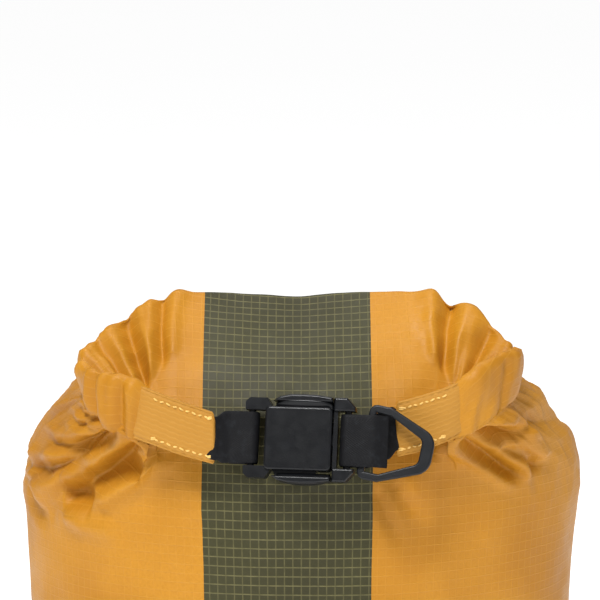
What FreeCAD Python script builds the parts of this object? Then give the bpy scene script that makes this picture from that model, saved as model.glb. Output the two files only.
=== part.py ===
"""Roll-top stuff sack with a side-release buckle closure and a triangular ring.

Millimetres. +X is to the right of the closed buckle, +Y to the back, +Z up.
The origin is the middle of the base, on the plane that the sack stands on.
"""
import FreeCAD
import Part
import Sketcher
import math
import os
import re

Vector = FreeCAD.Vector

doc = FreeCAD.newDocument("stuff_sack")
sheet = doc.addObject("Spreadsheet::Sheet", "Params")

# Near the base each bag section is an ellipse: its height, and how far it lies inside the
# upright wall at the side and at the front.
FOOT_SECTIONS = {"foot": (0, 14, 11.5), "foot_bend": (5, 7, 4.5), "wall_low": (20, 3, 0.5)}

# Above the upright wall each section is a share of the way from the wall to the neck, in its
# height, half width, half depth and how far it sits forward.
SLOPE_SECTIONS = {
    "shoulder": (0.32, -0.05, 0.05, 0.085),
    "slope_low": (0.505, 0.08, 0.155, 0.23),
    "slope_high": (0.68, 0.41, 0.32, 0.43),
    "throat": (0.865, 0.745, 0.635, 0.685),
}

DIMENSIONS = {
    # overall
    "total_height": 300.0, "bag_half_width": 107.0, "bag_half_depth": 74.5,
    # sewn fabric
    "wall": 1.1, "stripe_left": 36.5, "stripe_right": 26.0, "slope_height": 95.0, "base_seam": 1.0,
    "neck_drop": 14.0, "neck_inset": 12.0, "neck_half_depth": 6.0, "neck_behind": 15.0,
    "tape_gap": 0.15, "tape_thickness": 0.5, "tape_width": 12.0,
    # the rolled mouth: a flat strip bent into a horseshoe, lower at the front
    "roll_half_width": 80.0, "roll_half_depth": 21.5, "roll_forward": 56.0,
    "roll_squareness": 2.7, "front_drop": 33.0, "roll_margin": 2.6, "roll_thickness": 8.0,
    "roll_bevel": 1.8, "roll_lean_back": 50.0, "roll_lean_front": 18.0, "roll_end_x": 55.0,
    "hem_margin": 1.4, "hem_clearance": 0.3, "tab_left_x": 32.0, "tab_right_x": 36.0,
    "hem_layer": 0.45, "stiffener_height": 14.0, "stiffener_thickness": 0.6,
    # stitches on the two tabs
    "stitch_length": 2.3, "stitch_pitch": 3.3, "stitch_width": 0.5, "stitch_inset": 2.6,
    "stitch_stand": 0.05,
    # webbing
    "webbing_width": 19.0, "webbing_thickness": 1.4, "webbing_in_tab": 10.0,
    "webbing_clearance": 0.15, "left_end": 8.6, "right_end": 7.5,
    # how the buckle stands off the roll, leans back and turns
    "buckle_stand": 3.5, "buckle_lean": 18.0, "buckle_yaw": 8.0,
    # socket half
    "plate_left": 13.1, "plate_right": 11.5, "plate_margin": 1.4, "plate_wall": 1.8,
    "plate_gap": 5.0, "end_wall": 2.6, "ear_reach": 7.5, "ear_margin": 4.4,
    "ear_thickness": 6.0, "ear_overlap": 2.4, "slot_clearance": 0.7, "bar_radius": 1.35,
    "left_bar_reach": 5.3, "rib_left": 6.0, "rib_right": 4.4, "rib_inner_inset": 2.6,
    "rib_outer_inset": 0.2, "rib_clearance": 0.6,
    # plug half
    "plug_gap": 0.4, "plug_wall": 1.5, "plug_length": 7.9, "rail_margin": 4.9,
    "rail_clearance": 0.9, "rail_thickness": 7.0, "plug_wall_clearance": 0.3,
    "right_bar_reach": 5.1, "guide_length": 18.5, "guide_half_height": 2.0,
    "guide_side_gap": 0.9,
    # prongs
    "prong_clearance": 0.3, "prong_side_gap": 1.0, "prong_tip": 10.2, "neck_low_inset": 5.2,
    "neck_high_inset": 2.2, "button_base_rise": 2.0, "button_top_rise": 4.6,
    "button_thickness": 8.0, "barb_left": 9.6, "barb_low_inset": 2.3, "barb_high_inset": 1.0,
    "barb_side_gap": 0.25, "barb_clearance": 0.3,
    # ring
    "ring_reach": 4.2, "ring_tilt": 10.0, "ring_thickness": 2.4, "ring_arm": 2.9,
    "ring_clearance": 1.4, "ring_straight": 6.5, "ring_depth": 24.5, "ring_apex_half": 6.6,
    "ring_apex_wall": 4.6, "ring_edge_round": 0.7,
}

# What follows from the driving dimensions, so that pieces which fit together change together.
FOLLOWING = {
    "hem_height": "Params.webbing_width + Params.hem_margin",
    "hem_thickness": "Params.webbing_thickness + 2 * (Params.hem_layer + Params.webbing_clearance)",
    "roll_height": "Params.hem_height + Params.roll_margin",
    "roll_middle": "Params.total_height - Params.roll_height / 2 * cos(Params.roll_lean_back)"
                   " - Params.roll_thickness / 2 * sin(Params.roll_lean_back)",
    "buckle_forward": "Params.roll_forward + Params.roll_half_depth + Params.buckle_stand",
    "buckle_height": "Params.roll_middle - Params.front_drop",
    "slot_half_height": "Params.webbing_width / 2 + Params.slot_clearance",
    "plate_half_height": "Params.slot_half_height + Params.plate_margin",
    "ear_half_height": "Params.slot_half_height + Params.ear_margin",
    "socket_thickness": "Params.plate_gap + 2 * Params.plate_wall",
    "ear_left": "Params.plate_left + Params.ear_reach",
    "left_bar_x": "Params.plate_left + Params.left_bar_reach",
    "left_return": "Params.left_bar_x + Params.left_end",
    "rib_inner": "Params.plate_half_height - Params.rib_inner_inset",
    "rib_outer": "Params.plate_half_height - Params.rib_outer_inset",
    "rib_gap": "Params.prong_thickness + Params.rib_clearance",
    "plug_start": "Params.plate_right + Params.plug_gap",
    "plug_end": "Params.plug_start + Params.plug_length",
    "plug_wall_thickness": "Params.plate_gap - 2 * Params.plug_wall_clearance",
    "rail_inner": "Params.webbing_width / 2 + Params.rail_clearance",
    "plug_half_height": "Params.rail_inner + Params.rail_margin",
    "right_bar_x": "Params.plug_start + Params.right_bar_reach",
    "guide_thickness": "Params.plate_gap - 2 * Params.guide_side_gap",
    "prong_thickness": "Params.plate_gap - 2 * Params.prong_side_gap",
    "neck_low": "Params.plate_half_height - Params.neck_low_inset",
    "neck_high": "Params.plate_half_height - Params.neck_high_inset",
    "button_base": "Params.plate_half_height + Params.button_base_rise",
    "button_top": "Params.plate_half_height + Params.button_top_rise",
    "barb_low": "Params.plate_half_height - Params.barb_low_inset",
    "barb_high": "Params.plate_half_height - Params.barb_high_inset",
    "barb_thickness": "Params.plate_gap - 2 * Params.barb_side_gap",
    "ring_bar_x": "Params.plug_end + Params.ring_reach",
    "ring_inner_half": "Params.webbing_width / 2 + Params.ring_clearance",
    "right_return": "Params.ring_bar_x + Params.right_end",
}

for name, values in FOOT_SECTIONS.items():
    for quality, value in zip(("height", "side_inset", "depth_inset"), values):
        DIMENSIONS[f"{name}_{quality}"] = value
for name, values in SLOPE_SECTIONS.items():
    for quality, value in zip(("rise", "narrowing", "flattening", "advance"), values):
        DIMENSIONS[f"{name}_{quality}"] = value
for row, (name, value) in enumerate(DIMENSIONS.items(), start=1):
    sheet.set(f"A{row}", name)
    sheet.set(f"B{row}", str(value))
    sheet.setAlias(f"B{row}", name)
doc.recompute()


def full(expression):
    """The expression with each following value written out in driving dimensions."""
    found = re.search("|".join(rf"Params\.{name}\b" for name in FOLLOWING), expression)
    if not found:
        return expression
    name = found.group().split(".")[1]
    return full(f"{expression[:found.start()]}({FOLLOWING[name]}){expression[found.end():]}")


def size(name):
    """The present value of a driving or following dimension."""
    return float(sheet.evalExpression(full(f"Params.{name}")))


# ---------------------------------------------------------------- small helpers

def bind(thing, **expressions):
    """Tie properties to the sheet; a double underscore stands for a dot."""
    for prop, expression in expressions.items():
        thing.setExpression(prop.replace("__", "."), expression)


def feature(kind, name):
    thing = doc.addObject(kind, name)
    thing.Label = name
    return thing


def solid_feature(name, shape):
    """A Part::Feature for a shape that no parametric feature makes."""
    thing = feature("Part::Feature", name)
    thing.Shape = shape
    return thing


def faceted(rows, slants_up):
    """A solid through rows of corners: each four-cornered patch is split into two flat facets."""
    facets = [Part.Face(Part.makePolygon(row + row[:1])) for row in (rows[0][::-1], rows[-1])]
    count = len(rows[0])
    for number, (here, beyond) in enumerate(zip(rows, rows[1:])):
        for i in range(count):
            j = (i + 1) % count
            if slants_up(number, i):
                halves = ((here[i], here[j], beyond[i]), (here[j], beyond[j], beyond[i]))
            else:
                halves = ((here[i], here[j], beyond[j]), (here[i], beyond[j], beyond[i]))
            facets += [Part.Face(Part.makePolygon([*half, half[0]])) for half in halves]
    shell = Part.makeShell(facets)
    shell.sewShape()
    solid = Part.makeSolid(shell)
    if solid.Volume < 0:
        solid.reverse()
    return solid


# ---------------------------------------------------------------- the sewn bag

def bag_sections():
    """Height, half width, half depth and forward place of each section, from the base up."""
    wide, deep = size("bag_half_width"), size("bag_half_depth")
    foot = [[size(f"{name}_height"), wide - size(f"{name}_side_inset"),
             deep - size(f"{name}_depth_inset"), 0.0] for name in FOOT_SECTIONS]
    wall_top = [size("total_height") - size("slope_height"), wide, deep, 0.0]
    neck = [size("total_height") - size("neck_drop"),
            size("roll_half_width") - size("neck_inset"), size("neck_half_depth"),
            size("roll_forward") - size("neck_behind")]
    slope = [[low + (high - low) * size(f"{name}_{quality}") for low, high, quality in
              zip(wall_top, neck, ("rise", "narrowing", "flattening", "advance"))]
             for name in SLOPE_SECTIONS]
    return foot + rounded([wall_top] + slope + [neck])


def rounded(rows):
    """The sections with one more between each two, on a smooth curve through them."""
    result = []
    for i in range(len(rows) - 1):
        here, after = rows[i], rows[i + 1]
        before = rows[i - 1] if i else [2 * a - b for a, b in zip(here, after)]
        beyond = rows[min(i + 2, len(rows) - 1)]
        middle = [(9 * (b + c) - a - d) / 16 for a, b, c, d in zip(before, here, after, beyond)]
        result += [here, middle]
    return result + rows[-1:]


def shell_wire(section, depths, edges, front):
    """The outline of a wall across one section, between two depths below the bag's surface.

    The edges are distances to the left and right of the middle of the front. The wall lies
    between them, or is the rest of the way round.
    """
    height, half_width, half_depth, forward = section
    start = -math.pi if front else math.pi
    arcs = []
    for depth in depths:
        ellipse = Part.Ellipse(Vector(0, -forward, height), half_width - depth, half_depth - depth)
        left, right = (math.acos(edge / (half_width - depth)) for edge in edges)
        ends = (start + left, -right)
        arcs.append(Part.ArcOfEllipse(ellipse, min(ends), max(ends)).toShape())
    outer, inner = arcs
    sides = [Part.makeLine(outer.valueAt(outer.LastParameter), inner.valueAt(inner.LastParameter)),
             Part.makeLine(inner.valueAt(inner.FirstParameter),
                           outer.valueAt(outer.FirstParameter))]
    return Part.Wire(Part.sortEdges([outer, sides[0], inner, sides[1]])[0])


def sections_between(low, high):
    """The bag's sections from one height to another, cut off at both by straight interpolation."""
    rows = bag_sections()

    def at(height):
        for below, above in zip(rows, rows[1:]):
            if below[0] <= height <= above[0]:
                share = (height - below[0]) / (above[0] - below[0])
                return [b + (a - b) * share for b, a in zip(below, above)]
        return rows[-1]

    return [at(low)] + [row for row in rows if low < row[0] < high] + [at(high)]


def wall_panel(low, high, depths, edges, front):
    wires = [shell_wire(section, depths, edges, front) for section in sections_between(low, high)]
    return Part.makeLoft(wires, True, True)


wall = size("wall")
neck_height = bag_sections()[-1][0]
seams = (size("stripe_left"), size("stripe_right"))
stripe_cloth = wall_panel(wall, neck_height, (0, wall), seams, True)
main_cloth = wall_panel(wall, neck_height, (0, wall), seams, False)

base_outline = feature("Part::Ellipse", "base_outline")
bind(base_outline,
     MajorRadius="Params.bag_half_width - Params.foot_side_inset + Params.base_seam",
     MinorRadius="Params.bag_half_depth - Params.foot_depth_inset + Params.base_seam")
base_panel = feature("Part::Extrusion", "base_panel")
base_panel.Base = base_outline
base_panel.DirMode = "Normal"
base_panel.Solid = True
bind(base_panel, LengthFwd="Params.wall")

tape_depths = (wall + size("tape_gap"), wall + size("tape_gap") + size("tape_thickness"))
tape_low = wall + size("tape_gap")
tape_high = tape_low + size("tape_width")


throat_height = bag_sections()[-3][0]


def seam_tape(name, side, seam_x):
    """A tape inside the bag over an upright seam, from the base tape up to the throat."""
    rows = []
    for height, half_width, half_depth, forward in sections_between(
            tape_high + size("tape_gap"), throat_height):
        corners = []
        for depth in tape_depths:
            for step in (-1, 1):
                x = seam_x + step * size("tape_width") / 2
                reach = math.sqrt(1 - (x / (half_width - depth)) ** 2)
                corners.append(Vector(side * x, -forward - (half_depth - depth) * reach, height))
        rows.append([corners[0], corners[1], corners[3], corners[2]])
    return solid_feature(name, faceted(rows, lambda number, i: True))


base_seam_tape = solid_feature("base_seam_tape",
                               wall_panel(tape_low, tape_high, tape_depths, (0.2, 0.2), False))
seam_tape_left = seam_tape("seam_tape_left", -1, seams[0])
seam_tape_right = seam_tape("seam_tape_right", 1, seams[1])


# ---------------------------------------------------------------- the rolled mouth

def signed_power(value, power):
    return math.copysign(abs(value) ** power, value)


def mouth_point(angle):
    """A point on the strip's middle line: 0 is the back centre, minus pi to pi the front."""
    power = 2 / size("roll_squareness")
    across = signed_power(math.sin(angle), power)
    along = signed_power(math.cos(angle), power)
    fall = size("front_drop") * ((1 - along) / 2) ** 1.25
    return Vector(size("roll_half_width") * across,
                  size("roll_half_depth") * along - size("roll_forward"),
                  size("roll_middle") - fall)


def mouth_frame(angle):
    """Middle point, upward direction and inward normal of the strip."""
    step = 0.01
    tangent = (mouth_point(angle + step) - mouth_point(angle - step)).normalize()
    side = math.cos(angle)
    lean = math.radians(size("roll_lean_back") * max(side, 0)
                        - size("roll_lean_front") * min(side, 0))
    upward = Vector(0, math.sin(lean), math.cos(lean))
    upward = (upward - tangent * upward.dot(tangent)).normalize()
    return mouth_point(angle), upward, tangent.cross(upward)


def angle_at(reach):
    """The angle at which the front of the horseshoe comes in to this distance from the middle."""
    share = (reach / size("roll_half_width")) ** (size("roll_squareness") / 2)
    return math.pi - math.asin(share)


def flat_section(height, thickness):
    """A plain strip's section, as distances along the strip's normal and upward directions."""
    half_h, half_t = height / 2, thickness / 2
    return [(half_t, half_h), (-half_t, half_h), (-half_t, -half_h), (half_t, -half_h)]


def folded_section(height, thickness, slot_top, slot_thickness, bevel=0.0):
    """Cloth folded over at the top: a strip with a slot that is open along its lower edge."""
    half_h, half_t, slot = height / 2, thickness / 2, slot_thickness / 2
    side = [(half_t, half_h)]
    if bevel:
        side = [(half_t - bevel, half_h), (half_t, half_h - bevel), (half_t, bevel - half_h),
                (half_t - bevel, -half_h)]
    else:
        side.append((half_t, -half_h))
    inner = [(slot, -half_h), (slot, slot_top), (-slot, slot_top), (-slot, -half_h)]
    return side + inner + [(-t, h) for t, h in reversed(side)]


def strip(frames, section):
    """A solid strip with this section through a row of frames, in small flat facets."""
    rows = [[middle + normal * t + upward * h for t, h in section]
            for middle, upward, normal in frames]

    def slants_up(number, i):
        # every quarter of the wall is split along the same slant, mirrored left to right
        mirrored = frames[number][0].x + frames[number + 1][0].x < 0
        return (section[(i + 1) % len(section)][1] > section[i][1]) != mirrored

    return faceted(rows, slants_up)


def angles_between(start, end, steps):
    return [start + (end - start) * i / steps for i in range(steps + 1)]


roll_end = angle_at(size("roll_end_x"))
tab_left = angle_at(size("tab_left_x"))
tab_right = angle_at(size("tab_right_x"))
seam_left, seam_right = (math.pi - angle_at(seam) for seam in seams)
roll_angles = (angles_between(-roll_end, -seam_left, 22)[:-1]
               + angles_between(-seam_left, 0, 3)[:-1] + angles_between(0, seam_right, 3)
               + angles_between(seam_right, roll_end, 22)[1:])
hem_angles = (angles_between(-tab_left, -roll_end, 3)[:-1] + roll_angles
              + angles_between(roll_end, tab_right, 3)[1:])
hem_frames = [mouth_frame(angle) for angle in hem_angles]


def roll_piece(name, start, end):
    """One colour of the rolled cloth, folded over the hem, and the form that it fills."""
    frames = [mouth_frame(angle) for angle in roll_angles
              if start - 1e-6 <= angle <= end + 1e-6]
    folded = folded_section(size("roll_height"), size("roll_thickness"),
                            size("hem_height") / 2 + size("hem_clearance"),
                            size("hem_thickness") + 2 * size("hem_clearance"),
                            size("roll_bevel"))
    form = strip(frames, flat_section(size("roll_height"), size("roll_thickness")))
    return solid_feature(name, strip(frames, folded)), form


roll_left, left_form = roll_piece("roll_left", -roll_end, -seam_left)
roll_stripe, stripe_form = roll_piece("roll_stripe", -seam_left, seam_right)
roll_right, right_form = roll_piece("roll_right", seam_right, roll_end)

stripe_panel = solid_feature("stripe_panel", stripe_cloth.cut(stripe_form))
for form in (left_form, stripe_form, right_form):
    main_cloth = main_cloth.cut(form)
main_panel = solid_feature("main_panel", main_cloth)


# ---------------------------------------------------------------- the buckle's own frame

def buckle_rotation():
    return FreeCAD.Rotation(-size("buckle_yaw"), 0, -size("buckle_lean"))


def buckle_placement():
    return FreeCAD.Placement(Vector(0, -size("buckle_forward"), size("buckle_height")),
                             buckle_rotation())


BUCKLE_PLACE = full("placement(vector(0; -Params.buckle_forward; Params.buckle_height); "
                    "rotation(-Params.buckle_yaw; 0; -Params.buckle_lean))")


def buckle_frame(x, depth):
    """A strip frame in the buckle's own axes: depth is positive to the back."""
    place = buckle_placement()
    return (place.multVec(Vector(x, depth, 0)), place.Rotation.multVec(Vector(0, 0, 1)),
            place.Rotation.multVec(Vector(0, -1, 0)))


# ---------------------------------------------------------------- webbing

def webbing_loop(bar_x, straight_x, return_x, front_first):
    """Webbing that comes to a bar, goes round it and runs back, as one flat outline pulled high.

    straight_x is where the loop meets the webbing from the tab, return_x where its end lies.
    """
    inner = size("bar_radius") + size("webbing_clearance") / 2
    outer = inner + size("webbing_thickness")
    side = 1 if bar_x > straight_x else -1
    depth = -1 if front_first else 1

    def at(x, y):
        return Vector(x, y * depth, -size("webbing_width") / 2)

    edges = [
        Part.makeLine(at(straight_x, outer), at(bar_x, outer)),
        Part.Arc(at(bar_x, outer), at(bar_x + side * outer, 0), at(bar_x, -outer)).toShape(),
        Part.makeLine(at(bar_x, -outer), at(return_x, -outer)),
        Part.makeLine(at(return_x, -outer), at(return_x, -inner)),
        Part.makeLine(at(return_x, -inner), at(bar_x, -inner)),
        Part.Arc(at(bar_x, -inner), at(bar_x + side * inner, 0), at(bar_x, inner)).toShape(),
        Part.makeLine(at(bar_x, inner), at(straight_x, inner)),
        Part.makeLine(at(straight_x, inner), at(straight_x, outer)),
    ]
    loop = Part.Face(Part.Wire(edges)).extrude(Vector(0, 0, size("webbing_width")))
    loop.Placement = buckle_placement()
    return loop


def webbing(tab_angle, bar_x, straight_x, return_x, front_first):
    """One strap: sewn inside its tab, led to the buckle and looped round the buckle's bar."""
    side = math.copysign(1, tab_angle)
    middle = size("bar_radius") + size("webbing_clearance") / 2 + size("webbing_thickness") / 2
    buried = angle_at(abs(mouth_point(tab_angle).x) + size("webbing_in_tab")) * side
    frames = [mouth_frame(angle) for angle in angles_between(buried, tab_angle, 3)]
    # the horseshoe's normal points to the back or the front by side, the buckle's to the front
    frames = [(point, upward, normal * (1 if normal.y < 0 else -1))
              for point, upward, normal in frames]
    frames.append(buckle_frame(straight_x, -middle if front_first else middle))
    lead = strip(frames, flat_section(size("webbing_width"), size("webbing_thickness")))
    return lead.fuse(webbing_loop(bar_x, straight_x, return_x, front_first)).removeSplitter()


left_join = -size("left_bar_x") - 7
right_join = size("right_return") + 1
strap_left = solid_feature("strap_left", webbing(-tab_left, -size("left_bar_x"), left_join,
                                                -size("left_return"), True))
strap_right_shape = webbing(tab_right, size("right_bar_x"), right_join,
                            size("ring_bar_x") + 5.5, False)


def sewn_end(start_x, end_x):
    """The front layer's end, which drops behind the ring's bar onto the layer at the back."""
    inner = size("bar_radius") + size("webbing_clearance") / 2
    outer = inner + size("webbing_thickness")
    low = -size("webbing_width") / 2
    drop = start_x + 1.6
    outline = [(start_x, -outer), (drop + 1.2, inner - size("webbing_thickness")),
               (end_x, inner - size("webbing_thickness")), (end_x, inner), (drop, inner),
               (start_x, -inner)]
    points = [Vector(x, y, low) for x, y in outline]
    piece = Part.Face(Part.makePolygon(points + points[:1]))
    piece = piece.extrude(Vector(0, 0, size("webbing_width")))
    piece.Placement = buckle_placement()
    return piece


strap_right_shape = strap_right_shape.fuse(
    sewn_end(size("ring_bar_x") + 5.5, size("right_return"))).removeSplitter()
strap_right = solid_feature("strap_right", strap_right_shape)


# ---------------------------------------------------------------- the hem and what is in it

hem_section = folded_section(size("hem_height"), size("hem_thickness"),
                             size("hem_height") / 2 - size("hem_layer"),
                             size("hem_thickness") - 2 * size("hem_layer"))
mouth_hem = solid_feature("mouth_hem", strip(hem_frames, hem_section))
stiffener_frames = [mouth_frame(angle) for angle in roll_angles[1:-1]]
hem_stiffener = solid_feature("hem_stiffener", strip(
    stiffener_frames, flat_section(size("stiffener_height"), size("stiffener_thickness"))))


def tab_stitches(tab_angle):
    """Two rows of stitches along a tab, as small bars that stand on its outer face."""
    side = math.copysign(1, tab_angle)
    reach = abs(mouth_point(tab_angle).x)
    bars = []
    first = reach + size("stitch_pitch") * 0.7
    while first + size("stitch_length") < size("roll_end_x") - 1:
        angles = [angle_at(first + part * size("stitch_length")) * side for part in (0, 1)]
        for row in (-1, 1):
            frames = []
            for middle, upward, normal in (mouth_frame(angle) for angle in angles):
                rise = row * (size("hem_height") / 2 - size("stitch_inset"))
                out = -(size("hem_thickness") / 2 + size("stitch_width") / 2
                        + size("stitch_stand"))
                frames.append((middle + upward * rise + normal * out, upward, normal))
            bars.append(strip(frames, flat_section(size("stitch_width"), size("stitch_width"))))
        first += size("stitch_pitch")
    return Part.Compound(bars)


tab_stitching_left = solid_feature("tab_stitching_left", tab_stitches(-tab_left))
tab_stitching_right = solid_feature("tab_stitching_right", tab_stitches(tab_right))


# ---------------------------------------------------------------- moulded parts

def new_body(name):
    body = doc.addObject("PartDesign::Body", name)
    body.Label = name
    return body


def plane_of(body, role):
    return next(item for item in body.Origin.OriginFeatures if item.Role == role)


def outline_sketch(body, name, role, *loops):
    """A sketch of closed polygons whose corners are pairs of expressions."""
    sketch = body.newObject("Sketcher::SketchObject", name)
    sketch.AttachmentSupport = [(plane_of(body, role), "")]
    sketch.MapMode = "FlatFace"
    for loop in loops:
        corners = [[full(value) for value in corner] for corner in loop]
        places = [Vector(*(float(sheet.evalExpression(value)) for value in corner), 0)
                  for corner in corners]
        first = sketch.GeometryCount
        count = len(places)
        for i in range(count):
            sketch.addGeometry(Part.LineSegment(places[i], places[(i + 1) % count]), False)
        for i in range(count):
            after = first + (i + 1) % count
            sketch.addConstraint(Sketcher.Constraint("Coincident", first + i, 2, after, 1))
        for i, corner in enumerate(corners):
            for kind, value, expression in zip(("DistanceX", "DistanceY"),
                                               (places[i].x, places[i].y), corner):
                number = sketch.addConstraint(
                    Sketcher.Constraint(kind, -1, 1, first + i, 1, value))
                sketch.setExpression(f"Constraints[{number}]", expression)
    return sketch


def rectangle(left, right, bottom, top):
    return [(left, bottom), (right, bottom), (right, top), (left, top)]


def circle_sketch(body, name, role, centre_x, radius):
    sketch = body.newObject("Sketcher::SketchObject", name)
    sketch.AttachmentSupport = [(plane_of(body, role), "")]
    sketch.MapMode = "FlatFace"
    centre_x = full(centre_x)
    place = Vector(float(sheet.evalExpression(centre_x)), 0, 0)
    circle = Part.Circle(place, Vector(0, 0, 1), float(sheet.evalExpression(radius)))
    sketch.addGeometry(circle, False)
    for kind, arguments, expression in (
            ("DistanceX", (-1, 1, 0, 3, place.x), centre_x),
            ("DistanceY", (-1, 1, 0, 3, 0), "0"),
            ("Radius", (0, circle.Radius), radius)):
        number = sketch.addConstraint(Sketcher.Constraint(kind, *arguments))
        sketch.setExpression(f"Constraints[{number}]", expression)
    return sketch


def pad(body, name, sketch, length):
    """A pad that is centred on the sketch's plane."""
    result = body.newObject("PartDesign::Pad", name)
    result.Profile = sketch
    result.Midplane = True
    result.setExpression("Length", full(length))
    doc.recompute()
    return result


def pocket(body, name, sketch):
    """A pocket through everything, both ways."""
    before = body.Tip.Shape.Volume
    result = body.newObject("PartDesign::Pocket", name)
    result.Profile = sketch
    result.Type = "ThroughAll"
    result.Midplane = True
    doc.recompute()
    if result.Shape.Volume > before - 1e-6:
        raise RuntimeError(f"{name} removes nothing")
    return result


def round_edges(body, name, radius, wanted):
    """Fillet the edges of the body's tip whose middle and direction the test accepts."""
    base = body.Tip
    names = []
    for i, edge in enumerate(base.Shape.Edges, start=1):
        middle = edge.valueAt((edge.FirstParameter + edge.LastParameter) / 2)
        direction = edge.tangentAt((edge.FirstParameter + edge.LastParameter) / 2)
        if wanted(middle, direction):
            names.append(f"Edge{i}")
    result = body.newObject("PartDesign::Fillet", name)
    result.Base = (base, names)
    result.setExpression("Radius", full(radius))
    doc.recompute()
    return result


def along_y(direction):
    return abs(direction.y) > 0.99


# The socket: two plates joined at their left end, two ears with a webbing bar, inner ribs.
buckle_socket = new_body("buckle_socket")
pad(buckle_socket, "socket_block", outline_sketch(
    buckle_socket, "socket_outline", "XZ_Plane",
    rectangle("-Params.plate_left", "Params.plate_right",
              "-Params.plate_half_height", "Params.plate_half_height")), "Params.socket_thickness")
round_edges(buckle_socket, "socket_corners", "1.8", lambda middle, way: along_y(way))
round_edges(buckle_socket, "socket_edges", "0.9",
            lambda middle, way: abs(abs(middle.y) - size("socket_thickness") / 2) < 1e-6)
pocket(buckle_socket, "socket_cavity", outline_sketch(
    buckle_socket, "cavity_outline", "XY_Plane",
    rectangle("-Params.plate_left + Params.end_wall", "Params.plate_right + 1",
              "-Params.plate_gap / 2", "Params.plate_gap / 2")))
ear_right = "-Params.plate_left + Params.ear_overlap"
pad(buckle_socket, "socket_ears", outline_sketch(
    buckle_socket, "ears_outline", "XZ_Plane",
    [("-Params.ear_left", "Params.slot_half_height"),
     (ear_right, "Params.slot_half_height"),
     (ear_right, "Params.plate_half_height"),
     ("-Params.plate_left + 0.5", "Params.ear_half_height"),
     ("-Params.ear_left + 1.5", "Params.ear_half_height"),
     ("-Params.ear_left", "Params.ear_half_height - 1.5")],
    [("-Params.ear_left", "-Params.slot_half_height"),
     (ear_right, "-Params.slot_half_height"),
     (ear_right, "-Params.plate_half_height"),
     ("-Params.plate_left + 0.5", "-Params.ear_half_height"),
     ("-Params.ear_left + 1.5", "-Params.ear_half_height"),
     ("-Params.ear_left", "-Params.ear_half_height + 1.5")]), "Params.ear_thickness")
pad(buckle_socket, "socket_bar", circle_sketch(
    buckle_socket, "socket_bar_outline", "XY_Plane", "-Params.left_bar_x", "Params.bar_radius"),
    "2 * Params.slot_half_height + 2")
pad(buckle_socket, "socket_ribs", outline_sketch(
    buckle_socket, "ribs_outline", "XZ_Plane",
    rectangle("-Params.rib_left", "-Params.rib_right", "Params.rib_inner", "Params.rib_outer"),
    rectangle("-Params.rib_left", "-Params.rib_right", "-Params.rib_outer", "-Params.rib_inner")),
    "Params.plate_gap + 1")
pocket(buckle_socket, "rib_passage", outline_sketch(
    buckle_socket, "rib_passage_outline", "XY_Plane",
    rectangle("-Params.rib_left - 1", "-Params.rib_right + 1",
              "-Params.rib_gap / 2", "Params.rib_gap / 2")))

# The plug: a cross wall with two rails that carry the webbing bar, and a middle guide.
buckle_plug = new_body("buckle_plug")
pad(buckle_plug, "plug_wall_pad", outline_sketch(
    buckle_plug, "plug_wall_outline", "XZ_Plane",
    rectangle("Params.plug_start", "Params.plug_start + Params.plug_wall",
              "-Params.plug_half_height + 1", "Params.plug_half_height - 1")),
    "Params.plug_wall_thickness")
plug_step = "Params.plug_end - 3"
pad(buckle_plug, "plug_rails", outline_sketch(
    buckle_plug, "rails_outline", "XZ_Plane",
    [("Params.plug_start", "Params.rail_inner"), ("Params.plug_end", "Params.rail_inner"),
     ("Params.plug_end", "Params.rail_inner + 1.6"), (plug_step, "Params.plug_half_height"),
     ("Params.plug_start", "Params.plug_half_height")],
    [("Params.plug_start", "-Params.rail_inner"), ("Params.plug_end", "-Params.rail_inner"),
     ("Params.plug_end", "-Params.rail_inner - 1.6"), (plug_step, "-Params.plug_half_height"),
     ("Params.plug_start", "-Params.plug_half_height")]), "Params.rail_thickness")
round_edges(buckle_plug, "plug_edges",
            "min(0.8; (Params.rail_thickness - Params.plug_wall_thickness) * 0.35)",
            lambda middle, way: abs(abs(middle.y) - size("rail_thickness") / 2) < 1e-6)
pad(buckle_plug, "plug_bar", circle_sketch(
    buckle_plug, "plug_bar_outline", "XY_Plane", "Params.right_bar_x", "Params.bar_radius"),
    "2 * Params.rail_inner + 2")
pad(buckle_plug, "plug_guide", outline_sketch(
    buckle_plug, "guide_outline", "XZ_Plane",
    rectangle("Params.plug_start - Params.guide_length", "Params.plug_start + 0.5",
              "-Params.guide_half_height", "Params.guide_half_height")), "Params.guide_thickness")


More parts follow.
